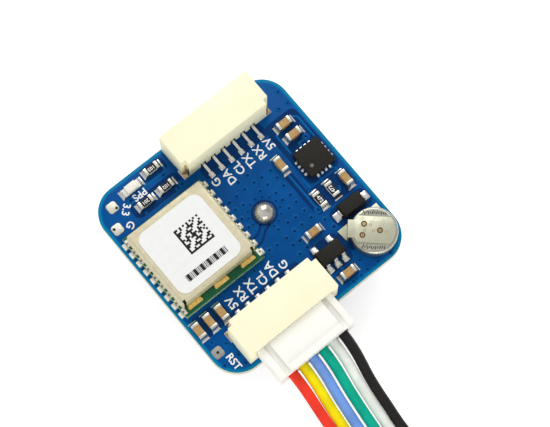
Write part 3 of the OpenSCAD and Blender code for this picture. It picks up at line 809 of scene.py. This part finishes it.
# Holes set one by one, and the corners where there are no others: x, y of two corners
SINGLE_VIAS = (
    (4.15, -10.95), (5.1, -10.95), (6.0, -10.9), (7.3, -10.9), (8.8, -11.0), (6.0, -9.7),
    (-3.87, -4.0), (-2.7, -4.0), (-10.4, -6.95), (-9.4, -7.9), (-9.15, -9.5), (-10.85, -9.5), (-9.1, -10.6),
    (10.8, 8.75), (10.8, 7.25), (9.7, 7.3),
)
SINGLE_CORNERS = [(8.9, 6.8, 11.5, 11.5), (-11.5, -11.5, -7.5, -6.4)]
RING_VIA_R = 0.19
SINGLE_VIA_R = 0.14
# The even field of holes, and the room that it leaves round all else
VIA_R = 0.16
VIA_PITCH = 1.06
VIA_FROM = (-10.9, -10.85)
VIA_ROWS = 22
VIA_PLAY = 0.07
PART_CLEARANCE = 0.42
PRINT_CLEARANCE = 0.2
PATCH_CLEARANCE = 0.2
HOLE_CLEARANCE = 0.75
FEED_CLEARANCE = 2.15
FEED_LINE_BOX = (-1.0, -2.6, 1.2, -0.6)
# The field ends at this distance from the centres of the board's round corners
VIA_REACH = 2.5
# Holes in a circle round the feed, apart from the angles where its line leaves
FEED_VIAS = 14
FEED_VIA_R = 0.12
FEED_RING = 1.65
FEED_GAP = (3.5, 4.6)
# A hole's form: share of its radius and height, from the foot of its collar to the dimple
VIA_FORM = ((2.3, 0), (1.7, VIA_H), (1.15, VIA_H), (0.8, GROOVE_H))
VIA_STEPS = 16
DIMPLE_STEPS = 14
DIMPLE_H = GROOVE_H + 0.002
# How far a node may hang over the board's lower edge and still stand on it, and the play in its height
OVERHANG = 1
SEAT_PLAY = 0.01

PIN_NAMES = ("G", "DA", "CL", "TX", "RX", "5V")
# Middle, line that the words keep to, pitch and alignment of a row
FREE_ROW = (3.435, 5.76, 1.31, "RIGHT")
CABLE_ROW = (-3.235, -5.78, 1.268, "LEFT")
# Words beside pads: text, x, y, turn, size
PAD_WORDS = (
    ("PPS", -6.55, 9.18, 180, 1.06),
    ("3.3", -8.57, 8.8, 222, 1.06),
    ("G", -9.2, 7.31, 212, 1.1),
    ("RST", -9.97, -9.77, -90, 1.06),
)
PRINT_SIZE = 1.17
PRINT_WEIGHT = 0.022
# Middles and sizes of the printed rows and words and of the test pads
PRINT_BOXES = (
    (FREE_ROW[0], FREE_ROW[1] - 0.75, 7.6, 1.7),
    (CABLE_ROW[0], CABLE_ROW[1] + 0.75, 7.6, 1.7),
    (-6.55, 9.22, 2.0, 0.9),
    (-8.6, 8.85, 1.5, 1.4),
    (-9.2, 7.33, 1.0, 1.0),
    (-10.0, -9.75, 0.9, 1.9),
    (-9.46, 9.81, 1.3, 1.3),
    (-10.44, 7.75, 1.3, 1.3),
    (-10.58, -8.1, 1.3, 1.3),
)


def strip(piece, points, width, high, material):
    """A flat line through points, with mitred corners."""
    ways = [Vector(b) - Vector(a) for a, b in zip(points, points[1:])]
    left, right = [], []
    for k, point in enumerate(points):
        before = ways[max(k - 1, 0)].normalized()
        after = ways[min(k, len(ways) - 1)].normalized()
        along = (before + after).normalized()
        normal = Vector((-along.y, along.x)) * (width / 2 / max(along.dot(after), MITRE_LIMIT))
        left.append(Vector(point) + normal)
        right.append(Vector(point) - normal)
    piece.prism([(corner.x, corner.y) for corner in right + left[::-1]], 0, high, material)


def grown(box, room):
    """A plan box with room on all sides."""
    x0, y0, x1, y1 = box
    return (x0 - room, y0 - room, x1 + room, y1 + room)


def kept_clear():
    """Plan boxes that the even field of holes leaves free."""
    boxes = SINGLE_CORNERS + [FEED_LINE_BOX]
    for name in nodes:
        low, high = node_box(name)
        if name != "board" and low.z > TOP - SEAT_PLAY and low.y > -BOARD_HALF - OVERHANG:
            boxes.append(grown((low.x, low.y, high.x, high.y), PART_CLEARANCE))
    for x, y, w, l in PRINT_BOXES:
        boxes.append(grown((x - w / 2, y - l / 2, x + w / 2, y + l / 2), PRINT_CLEARANCE))
    boxes += [grown(patch, PATCH_CLEARANCE) for patch in BARE_PATCHES]
    return boxes


def make_copper():
    copper = Piece("board_copper")
    for i, (x0, y0, x1, y1) in enumerate(BARE_PATCHES):
        w, l = x1 - x0, y1 - y0
        radius = min(PATCH_R, PATCH_SHARE * w, PATCH_SHARE * l)
        copper.at((x0 + x1) / 2, (y0 + y1) / 2, TOP)
        copper.prism(round_rectangle(w, l, radius), 0, PATCH_H + PATCH_STEP * i, MASK_DARK)
    copper.at(*FEED_AT, TOP)
    copper.ring(*FEED_GROOVE, 0, GROOVE_H, MASK_GROOVE, 40)
    copper.at(0, 0, TOP)
    for line in GROOVES:
        strip(copper, line, GROOVE_W, GROOVE_H, MASK_GROOVE)
    for line in TRACES:
        strip(copper, line, TRACE_W, TRACE_H, MASK_TRACE)
    copper.done("board_blue")


def via(piece, x, y, radius):
    """A tented hole: a low collar round a dark dimple."""
    piece.at(x, y, TOP)
    piece.stack([(circle(radius * share, VIA_STEPS), z) for share, z in VIA_FORM], MASK_COLLAR)
    piece.prism(circle(radius * VIA_FORM[-1][0], DIMPLE_STEPS), 0, DIMPLE_H, HOLE)


def field_places():
    """Places in the even field of holes that are free."""
    boxes = kept_clear()
    others = [Vector(place) for place in RING_VIAS + SINGLE_VIAS]
    straight = BOARD_HALF - BOARD_R
    for row in range(VIA_ROWS):
        for column in range(VIA_ROWS):
            x = VIA_FROM[0] + column * VIA_PITCH + VIA_PLAY * math.sin(5.1 * row + 2.3 * column)
            y = VIA_FROM[1] + row * VIA_PITCH + VIA_PLAY * math.cos(3.7 * row + 4.9 * column)
            place = Vector((x, y))
            past = Vector((max(abs(x) - straight, 0), max(abs(y) - straight, 0)))
            blocked = any(x0 < x < x1 and y0 < y < y1 for x0, y0, x1, y1 in boxes)
            near_feed = (place - Vector(FEED_AT)).length < FEED_CLEARANCE
            near_hole = any((place - other).length < HOLE_CLEARANCE for other in others)
            if past.length <= VIA_REACH and not (blocked or near_feed or near_hole):
                yield x, y


def make_vias():
    vias = Piece("board_vias")
    for places, radius in ((field_places(), VIA_R), (RING_VIAS, RING_VIA_R), (SINGLE_VIAS, SINGLE_VIA_R)):
        for x, y in places:
            via(vias, x, y, radius)
    for k in range(FEED_VIAS):
        angle = 2 * math.pi * (k + 0.3) / FEED_VIAS
        if not FEED_GAP[0] < angle < FEED_GAP[1]:
            x = FEED_AT[0] + FEED_RING * math.cos(angle)
            y = FEED_AT[1] + FEED_RING * math.sin(angle)
            via(vias, x, y, FEED_VIA_R)
    vias.done("board_blue")


def make_print():
    words = Piece("board_print")
    for (x, y, pitch, align), names in ((FREE_ROW, PIN_NAMES), (CABLE_ROW, PIN_NAMES[::-1])):
        for i, name in enumerate(names):
            words.at(x + (i - ROW_MIDDLE) * pitch, y, TOP, 90)
            words.words(name, PRINT_SIZE, 0, PRINT_H, PRINT_WHITE, PRINT_WEIGHT, align)
    for text, x, y, turn, size in PAD_WORDS:
        words.at(x, y, TOP, turn)
        words.words(text, size, 0, PRINT_H, PRINT_WHITE, PRINT_WEIGHT)
    words.done("board_blue")


# Test pads: x, y, place of the hole from the centre, tone
TEST_PADS = (
    (-9.46, 9.81, 0.3, -0.3, PAD_TIN),
    (-10.44, 7.75, -0.27, 0.18, PAD_TIN),
    (-10.58, -8.1, 0, 0, PAD_DULL),
)
TEST_PAD_W = 1.14
TEST_PAD_R = 0.3
TEST_PAD_RIM_H = 0.025
# The metal inside the rim: inset, corner radius and height, from its foot to its top
TEST_PAD_FORM = ((0.05, 0.27, 0), (0.05, 0.27, 0.035), (0.15, 0.2, 0.05))
TEST_HOLE_R = 0.15
TEST_HOLE_Z = (0.03, 0.056)


def make_test_pads():
    pads = Piece("test_pads")
    for x, y, hole_x, hole_y, tone in TEST_PADS:
        pads.at(x, y, TOP)
        pads.prism(round_rectangle(TEST_PAD_W, TEST_PAD_W, TEST_PAD_R), 0, TEST_PAD_RIM_H, PAD_RIM)
        levels = []
        for inset, radius, z in TEST_PAD_FORM:
            w = TEST_PAD_W - 2 * inset
            levels.append((round_rectangle(w, w, radius), z))
        pads.stack(levels, tone)
        # The hole is a dark disc a little above the metal: painted shade
        pads.at(x + hole_x, y + hole_y, TOP)
        pads.prism(circle(TEST_HOLE_R, 16), *TEST_HOLE_Z, PIN_HOLE_SHADE)
    pads.done("tin")


make_copper()
make_vias()
make_print()
make_test_pads()


# Solder joints

JOINT_STEPS = 4
# How far a fillet reaches into the metal, its least thickness, its widening and the slope of its sides
JOINT_BITE = 0.02
JOINT_T = 0.03
JOINT_FLARE = 0.12
JOINT_TOP = 0.95


def joint(piece, width, reach, height):
    """A hollow fillet that runs out along +X from a metal end at x = 0."""
    ribs = []
    for k in range(JOINT_STEPS + 1):
        part = k / JOINT_STEPS
        x = reach * part - JOINT_BITE * (1 - part)
        z = height * (1 - part) ** 2 + JOINT_T
        half = width / 2 * (1 + JOINT_FLARE * part)
        top = half * (JOINT_TOP - JOINT_FLARE * part)
        ribs.append([(x, -half, 0), (x, half, 0), (x, top, z), (x, -top, z)])
    piece.skin(ribs, SOLDER)


def heap(piece, w, l, radius, form, material):
    """Solder in layers of round rectangles; form gives each layer's inset and height."""
    levels = []
    for inset, z in form:
        levels.append((round_rectangle(w - 2 * inset, l - 2 * inset, radius, 3), z))
    piece.stack(levels, material)


def mound(piece, w, l, height):
    """Solder that lies round a flat foot on its pad."""
    form = ((0, 0), (0.02, 0.03), (0.1, height * 0.55), (0.17, height * 0.9), (0.24, height))
    heap(piece, w, l, 0.1, form, SOLDER)


def lump(piece, w, l, height):
    """A full block of solder with a round top."""
    form = ((0, 0), (0, height * 0.55), (0.04, height * 0.82), (0.1, height * 0.95), (0.18, height))
    heap(piece, w, l, 0.07, form, PAD_BRIGHT)


CHIP_REACH = 0.36
CHIP_WIDER = 0.06
# How high the solder climbs, as a share of the part's height
RESISTOR_RISE = 0.75
CAPACITOR_RISE = 0.6
LAMP_RISE = 0.4


def chip_joints(piece, node, rise):
    """Fillets at both ends of a chip."""
    low, high = node_box(node)
    centre = (low + high) / 2
    size = high - low
    lengthwise = size.x > size.y
    half = max(size.x, size.y) / 2
    width = min(size.x, size.y) + CHIP_WIDER
    for turn in ((0, 180) if lengthwise else (90, 270)):
        way = heading(turn)
        piece.at(centre.x + way.x * half, centre.y + way.y * half, TOP, turn)
        joint(piece, width, CHIP_REACH, rise * size.z)


def make_chip_joints():
    solder = Piece("chip_solder")
    for name in RESISTORS:
        chip_joints(solder, name, RESISTOR_RISE)
    for name in CAPACITORS:
        chip_joints(solder, name, CAPACITOR_RISE)
    chip_joints(solder, "indicator_lamp", LAMP_RISE)
    solder.done("tin")


# Rear of each header, way to its tails and length of the tails
HEADERS = (((3.4, 7.5), -1, 1.5), ((-3.4, -7), 1, 0.95))
# Places of the mounds: back from a tail's end, and from the middle of a header's rear to its tabs
TAIL_BACK = 0.22
TAB_OUT = 5.2
TAB_BACK = 0.6
REGULATOR_AT = (4.1, -7.43)
REGULATOR_OUT = 1.27
# Side of the regulator and the places of its leads there
REGULATOR_LEADS = ((1, (-0.95, 0.95)), (-1, (-0.95, 0, 0.95)))
DIODE_AT = (8.85, -5)
DIODE_OUT = 1.76
# Width, length and height of the mounds
TAIL_MOUND = (0.56, 0.62, 0.13)
TAB_MOUND = (0.74, 1.2, 0.1)
REGULATOR_MOUND = (0.66, 0.72, 0.14)
DIODE_MOUND = (0.72, 0.92, 0.12)
COMPASS_PINS = 4
COMPASS_PITCH = 0.5
COMPASS_OUT = 0.02
# Width, reach and height of a fillet at the compass chip
COMPASS_JOINT = (0.26, 0.24, 0.2)


def make_foot_joints():
    solder = Piece("foot_solder")
    for (x, y), way, tail in HEADERS:
        for i in range(WAYS):
            solder.at(x + (i - ROW_MIDDLE) * PITCH, y + way * (tail - TAIL_BACK), TOP)
            mound(solder, *TAIL_MOUND)
        for side in (-1, 1):
            solder.at(x + side * TAB_OUT, y - way * TAB_BACK, TOP)
            mound(solder, *TAB_MOUND)
    for side, places in REGULATOR_LEADS:
        for place in places:
            solder.at(REGULATOR_AT[0] + place, REGULATOR_AT[1] + side * REGULATOR_OUT, TOP)
            mound(solder, *REGULATOR_MOUND)
    for side in (-1, 1):
        solder.at(DIODE_AT[0] + side * DIODE_OUT, DIODE_AT[1], TOP)
        mound(solder, *DIODE_MOUND)
    low, high = node_box("compass_chip")
    middle = (low + high) / 2
    half = (high.x - low.x) / 2 + COMPASS_OUT
    for turn in (0, 90, 180, 270):
        way = heading(turn)
        for i in range(COMPASS_PINS):
            along = (i - (COMPASS_PINS - 1) / 2) * COMPASS_PITCH
            x = middle.x + way.x * half - way.y * along
            y = middle.y + way.y * half + way.x * along
            solder.at(x, y, TOP, turn)
            joint(solder, *COMPASS_JOINT)
    solder.done("tin")


RECEIVER_PADS = 9
RECEIVER_PITCH = 1.1
# Each pad has a lump outside the receiver's board, and metal and a half-round hole on it:
# distance from the board's edge, size and heights
RECEIVER_LUMP_OUT = 0.13
RECEIVER_LUMP = (0.52, 0.66, 0.55)
RECEIVER_METAL_IN = 0.18
RECEIVER_METAL = (0.34, 0.74)
RECEIVER_METAL_Z = (-0.02, 0.02)
RECEIVER_HOLE_IN = 0.06
RECEIVER_HOLE_R = 0.12
RECEIVER_HOLE_Z = (-0.01, 0.028)


def make_receiver_joints():
    solder = Piece("receiver_solder")
    low, high = node_box("receiver_board")
    middle = (low + high) / 2
    for x, way in ((low.x, -1), (high.x, 1)):
        for i in range(RECEIVER_PADS):
            y = middle.y + (i - (RECEIVER_PADS - 1) / 2) * RECEIVER_PITCH
            solder.at(x + way * RECEIVER_LUMP_OUT, y, TOP)
            lump(solder, *RECEIVER_LUMP)
            solder.at(x - way * RECEIVER_METAL_IN, y, high.z)
            solder.prism(rectangle(*RECEIVER_METAL), *RECEIVER_METAL_Z, PAD_BRIGHT)
            # The half-round hole is a grey disc on the pad: painted shade inside the hole
            solder.at(x - way * RECEIVER_HOLE_IN, y, high.z)
            solder.prism(circle(RECEIVER_HOLE_R, 14), *RECEIVER_HOLE_Z, PAD_RIM)
    solder.done("tin")


make_chip_joints()
make_foot_joints()
make_receiver_joints()


# Print on the parts

CODE_CELLS = 14
CODE_AT = (-5.28, 2.04)
CODE_W = 2.9
LABEL_PRINT_H = 0.012
# Neighbouring dots overlap a little
DOT_GAIN = 1.01
# A row of bars under the code: count, first place from the code's middle, step, widths in turn and length
BARS = 30
BARS_FROM = (-3.3, -3.08)
BAR_STEP = 0.165
BAR_WIDTHS = (0.056, 0.112, 0.056, 0.16, 0.08)
BAR_L = 0.72


def code_cell(column, row):
    """A dot code of no meaning: solid on two sides, broken on the others, and a fixed pattern inside."""
    last = CODE_CELLS - 1
    if column == 0 or row == 0:
        return True
    if column == last or row == last:
        return (column + row) % 2 == 0
    return (column * column + 3 * row * row + 5 * column * row + 2 * row) % 7 < 3


def make_label_print():
    ink = Piece("label_print")
    top = node_box("receiver_label")[1].z
    cell = CODE_W / CODE_CELLS
    for column in range(CODE_CELLS):
        for row in range(CODE_CELLS):
            if code_cell(column, row):
                x = CODE_AT[0] + (column - (CODE_CELLS - 1) / 2) * cell
                y = CODE_AT[1] + (row - (CODE_CELLS - 1) / 2) * cell
                ink.at(x, y, top)
                ink.prism(rectangle(cell * DOT_GAIN, cell * DOT_GAIN), 0, LABEL_PRINT_H, INK)
    for k in range(BARS):
        width = BAR_WIDTHS[(k * k + 2 * k) % len(BAR_WIDTHS)]
        ink.at(CODE_AT[0] + BARS_FROM[0] + k * BAR_STEP, CODE_AT[1] + BARS_FROM[1], top)
        ink.prism(rectangle(width, BAR_L), 0, LABEL_PRINT_H, INK)
    ink.done("label_white")


# Value and turn of each resistor's mark
RESISTOR_MARKS = (("103", 180), ("102", 180), ("201", 180), ("472", 90), ("472", -90))
MARK_SIZE = 0.52
MARK_WEIGHT = 0.008
# Heights of the marks about a part's upper face: they start inside it
VALUE_Z = (-0.03, 0.008)
DOT_Z = (-0.02, 0.008)
COMPASS_DOT = (8.35, 0.5)
COMPASS_DOT_R = 0.2


def make_marks():
    marks = Piece("part_marks")
    for name, (text, turn) in zip(RESISTORS, RESISTOR_MARKS):
        low, high = node_box(name)
        middle = (low + high) / 2
        marks.at(middle.x, middle.y, high.z, turn)
        marks.words(text, MARK_SIZE, *VALUE_Z, PRINT_WHITE, MARK_WEIGHT)
    marks.at(*COMPASS_DOT, node_box("compass_chip")[1].z)
    marks.prism(circle(COMPASS_DOT_R, 20), *DOT_Z, MARK_GREY)
    marks.done("package_black")


CELL_AT = (8.75, -8.53)
CELL_TURN = -42
CELL_WELDS = ((8.36, -7.45), (7.5, -8.22), (9.13, -8.95))
CELL_RINGS = ((7.95, -8.0), (8.75, -7.95), (8.6, -8.55), (9.45, -9.5))
# Inner and outer radius and heights of the weld spots' rings and of the stains
WELD_RING = (0.15, 0.3)
WELD_DOT_R = 0.07
WELD_Z = (-0.02, 0.02)
STAIN_RING = (0.08, 0.17)
STAIN_Z = (-0.02, 0.004)
# Plain strokes on both sides of the top tab, in rows that follow the can's edge
CELL_STROKES = 11
CELL_STROKE_OUT = 1.78
CELL_STROKE_STEP = 0.21
CELL_STROKE_BEND = 0.06
CELL_STROKE_SWING = 28
CELL_STROKE_W = 0.09
CELL_STROKE_L = 0.32
CELL_STROKE_PLAY = 0.12
CELL_STROKE_Z = (-0.02, 0.012)


def make_cell_marks():
    marks = Piece("cell_marks")
    top = node_box("backup_cell_top_tab")[1].z
    for x, y in CELL_WELDS:
        marks.at(x, y, top)
        marks.ring(*WELD_RING, *WELD_Z, WELD, 20)
        marks.prism(circle(WELD_DOT_R, 12), *WELD_Z, WELD)
    for x, y in CELL_RINGS:
        marks.at(x, y, top)
        marks.ring(*STAIN_RING, *STAIN_Z, CELL_STAIN, 16)
    can_top = node_box("backup_cell_can")[1].z
    row = math.radians(CELL_TURN)
    for side in (-1, 1):
        for k in range(CELL_STROKES):
            along = (k - (CELL_STROKES - 1) / 2) * CELL_STROKE_STEP
            out = side * (CELL_STROKE_OUT - CELL_STROKE_BEND * abs(along))
            x = CELL_AT[0] + along * math.cos(row) - out * math.sin(row)
            y = CELL_AT[1] + along * math.sin(row) + out * math.cos(row)
            length = CELL_STROKE_L + CELL_STROKE_PLAY * math.cos(3 * k)
            marks.at(x, y, can_top, CELL_TURN + CELL_STROKE_SWING * math.sin(7 * k + side))
            marks.prism(rectangle(CELL_STROKE_W, length), *CELL_STROKE_Z, CELL_MARK)
    marks.done("cell_steel")


make_label_print()
make_marks()
make_cell_marks()


# Stage: floor, lamps and world

FLOOR_W = 4000
FLOOR_Z = -0.02
FLOOR_WHITE = (0.9, 0.9, 0.9, 1)
# The floor glows where it is looked at, so that it shows white without lighting the part
FLOOR_GLOW = 0.5
WHITE = (1, 1, 1, 1)
WORLD_STRENGTH = 0.65
# Name, place, power in watts and size of each lamp
LAMPS = (
    ("key_lamp", (200, 330, 350), 1.25, 320),
    ("fill_lamp", (-220, -380, 180), 0.8, 280),
)


def make_stage():
    bpy.ops.mesh.primitive_plane_add(size=FLOOR_W * MM, location=(0, 0, FLOOR_Z * MM))
    floor = bpy.context.object
    floor.name = "floor"
    finish = Finish("floor_white", FLOOR_WHITE, 0.8)
    paths = finish.tree.nodes.new("ShaderNodeLightPath")
    seen = paths.outputs["Is Camera Ray"]
    for ray in ("Is Glossy Ray", "Is Transmission Ray"):
        either = finish.tree.nodes.new("ShaderNodeMath")
        either.operation = "MAXIMUM"
        finish.link(seen, either.inputs[0])
        finish.link(paths.outputs[ray], either.inputs[1])
        seen = either.outputs[0]
    glow = finish.maths("MULTIPLY", seen, FLOOR_GLOW)
    finish.shader.inputs["Emission Color"].default_value = WHITE
    finish.link(glow, finish.shader.inputs["Emission Strength"])
    floor.data.materials.append(finish.material)


def make_lamp(name, place, power, size):
    data = bpy.data.lights.new(name, "AREA")
    data.energy = power
    data.size = size * MM
    lamp = bpy.data.objects.new(name, data)
    lamp.location = Vector(place) * MM
    aim = Vector((0, 0, TOP)) - Vector(place)
    lamp.rotation_euler = aim.to_track_quat("-Z", "Y").to_euler()
    bpy.context.scene.collection.objects.link(lamp)


def make_world():
    world = bpy.data.worlds.new("studio")
    world.use_nodes = True
    back = world.node_tree.nodes["Background"]
    back.inputs["Color"].default_value = WHITE
    back.inputs["Strength"].default_value = WORLD_STRENGTH
    bpy.context.scene.world = world


make_stage()
for lamp in LAMPS:
    make_lamp(*lamp)
make_world()
bpy.context.scene.view_settings.view_transform = "Standard"
